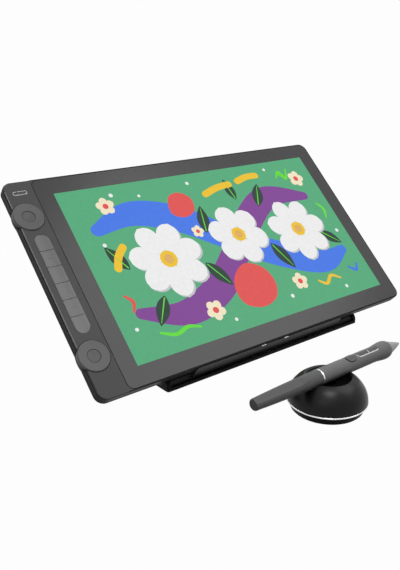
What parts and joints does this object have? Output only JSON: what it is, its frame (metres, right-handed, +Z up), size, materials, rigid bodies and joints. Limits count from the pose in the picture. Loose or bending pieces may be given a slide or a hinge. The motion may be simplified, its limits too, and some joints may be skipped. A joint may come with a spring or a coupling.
{
  "type": "graphics tablet with screen",
  "caption": "Pen display with dials and express keys on a folding tilt stand, with a grip pen resting on a domed pen holder.",
  "frame": {"origin": "on the desk plane, midway along the stand, straight below the axis of its front hinge, on the underside of the front foot strip", "axes": "+X to the user's right along the hinge, +Y away from the user, +Z up"},
  "size_m": [0.4223, 0.3522, 0.1813],
  "materials": {
    "stand": "satin",
    "leg": "satin",
    "bumper": "matte",
    "rubber": "matte",
    "steel": "satin",
    "dark_part": "matte",
    "case": "satin",
    "rim": "satin",
    "panel": "satin",
    "screen_glass": "anti-glare etched glass over a lit display",
    "display": "gloss",
    "board": "satin",
    "chassis": "satin",
    "socket": "satin",
    "mat": "matte",
    "power_trim": "polished",
    "power_face": "satin",
    "dial": "satin",
    "dial_cap": "satin",
    "key": "satin",
    "pen_body": "soft matte",
    "band": "polished",
    "outline": "satin",
    "pen_button": "satin",
    "pen_cone": "matte",
    "nib": "matte",
    "dome": "gloss",
    "ring": "polished",
    "holder_foot": "satin"
  },
  "bodies": {
    "stand_base": {"base_plate": "stand", "base_racks": "dark_part", "base_feet": "rubber", "hinge_pins": "steel"},
    "tilt_plate": {"back_plate": "stand", "lip_bumpers": "bumper", "plate_pads": "rubber", "prop_pin": "steel"},
    "prop": {"prop_leg": "leg", "prop_foot": "steel"},
    "tablet": {"rear_cover": "case", "front_frame": "rim", "key_panel": "panel", "cover_glass": "screen_glass", "display_panel": "display", "digitizer_board": "board", "chassis_plate": "chassis", "case_screws": "steel", "main_board": "board", "usb_ports": "socket", "key_board": "board", "key_mat": "mat", "dial_encoder_upper": "dark_part", "dial_encoder_lower": "dark_part", "power_ring": "power_trim", "power_switch": "board", "tablet_feet": "rubber"},
    "upper_dial": {"dial_upper": "dial"},
    "lower_dial": {"dial_lower": "dial"},
    "upper_dial_button": {"dial_button_upper": "dial_cap"},
    "lower_dial_button": {"dial_button_lower": "dial_cap"},
    "power_key": {"power_button": "power_face"},
    "holder": {"holder_base": "holder_foot", "holder_pad": "rubber", "nib_tray": "dark_part", "spare_nibs": "nib"},
    "dome": {"holder_dome": "dome", "holder_ring": "ring"},
    "pen": {"pen_tail": "pen_body", "pen_band": "band", "pen_barrel": "pen_body", "pen_outline": "outline", "pen_cone": "pen_cone", "pen_core": "board"},
    "rocker": {"pen_rocker": "pen_button", "rocker_tick": "outline"},
    "third_button": {"pen_third_button": "pen_button"},
    "nib": {"pen_nib": "nib"},
    "express_key_1": {"key_1": "key"},
    "express_key_2": {"key_2": "key"},
    "express_key_3": {"key_3": "key"},
    "express_key_4": {"key_4": "key"},
    "express_key_5": {"key_5": "key"},
    "express_key_6": {"key_6": "key"}
  },
  "joints": [
    {"name": "tilt", "type": "hinge", "parent": "stand_base", "child": "tilt_plate", "pos_m": [0, 0, 0.0053], "axis": [1, 0, 0], "range_deg": [-43.5, 16.5]},
    {"name": "prop_swing", "type": "hinge", "parent": "tilt_plate", "child": "prop", "pos_m": [0, 0.06383, 0.06588], "axis": [1, 0, 0], "range_deg": [-33, 87]},
    {"name": "tablet_lift", "type": "slide", "parent": "tilt_plate", "child": "tablet", "axis": [0, -0.6884, 0.7254], "range_m": [0, 0.04]},
    {"name": "holder_lift", "type": "slide", "parent": "stand_base", "child": "holder", "axis": [0, 0, 1], "range_m": [0, 0.04]},
    {"name": "holder_twist", "type": "hinge", "parent": "holder", "child": "dome", "pos_m": [-0.0384, -0.1158, 0.01], "axis": [0, 0, 1], "range_deg": [0, 25]},
    {"name": "pen_lift", "type": "slide", "parent": "dome", "child": "pen", "axis": [0, 0, 1], "range_m": [0, 0.06]},
    {"name": "rocker_tilt", "type": "hinge", "parent": "pen", "child": "rocker", "pos_m": [0.012, -0.11712, 0.0397], "axis": [0, 0.9763, 0.2164], "range_deg": [-2, 2], "stiffness_Nm_per_rad": 0.4},
    {"name": "third_press", "type": "slide", "parent": "pen", "child": "third_button", "axis": [0, 0.2164, -0.9763], "range_m": [0, 0.0005], "stiffness_N_per_m": 1500, "springref_m": -0.0002},
    {"name": "nib_press", "type": "slide", "parent": "pen", "child": "nib", "axis": [-1, 0, 0], "range_m": [0, 0.0007], "stiffness_N_per_m": 1500, "springref_m": -0.0002},
    {"name": "upper_dial_turn", "type": "hinge", "parent": "tablet", "child": "upper_dial", "pos_m": [-0.1969, 0.13013, 0.15291], "axis": [0, -0.6884, 0.7254], "continuous": true},
    {"name": "upper_dial_press", "type": "slide", "parent": "tablet", "child": "upper_dial_button", "axis": [0, 0.6884, -0.7254], "range_m": [0, 0.0005], "stiffness_N_per_m": 1500, "springref_m": -0.0003},
    {"name": "lower_dial_turn", "type": "hinge", "parent": "tablet", "child": "lower_dial", "pos_m": [-0.1969, 0.01929, 0.04773], "axis": [0, -0.6884, 0.7254], "continuous": true},
    {"name": "lower_dial_press", "type": "slide", "parent": "tablet", "child": "lower_dial_button", "axis": [0, 0.6884, -0.7254], "range_m": [0, 0.0005], "stiffness_N_per_m": 1500, "springref_m": -0.0003},
    {"name": "key_1_press", "type": "slide", "parent": "tablet", "child": "express_key_1", "axis": [0, 0.6884, -0.7254], "range_m": [0, 0.0007], "stiffness_N_per_m": 1200, "springref_m": -0.0003},
    {"name": "key_2_press", "type": "slide", "parent": "tablet", "child": "express_key_2", "axis": [0, 0.6884, -0.7254], "range_m": [0, 0.0007], "stiffness_N_per_m": 1200, "springref_m": -0.0003},
    {"name": "key_3_press", "type": "slide", "parent": "tablet", "child": "express_key_3", "axis": [0, 0.6884, -0.7254], "range_m": [0, 0.0007], "stiffness_N_per_m": 1200, "springref_m": -0.0003},
    {"name": "key_4_press", "type": "slide", "parent": "tablet", "child": "express_key_4", "axis": [0, 0.6884, -0.7254], "range_m": [0, 0.0007], "stiffness_N_per_m": 1200, "springref_m": -0.0003},
    {"name": "key_5_press", "type": "slide", "parent": "tablet", "child": "express_key_5", "axis": [0, 0.6884, -0.7254], "range_m": [0, 0.0007], "stiffness_N_per_m": 1200, "springref_m": -0.0003},
    {"name": "key_6_press", "type": "slide", "parent": "tablet", "child": "express_key_6", "axis": [0, 0.6884, -0.7254], "range_m": [0, 0.0007], "stiffness_N_per_m": 1200, "springref_m": -0.0003},
    {"name": "power_press", "type": "slide", "parent": "tablet", "child": "power_key", "axis": [0, 0.6884, -0.7254], "range_m": [0, 0.0005], "stiffness_N_per_m": 1500, "springref_m": -0.0003}
  ],
  "couplings": [
    {"joint": "prop_swing", "follows": "tilt", "ratio": -2}
  ]
}
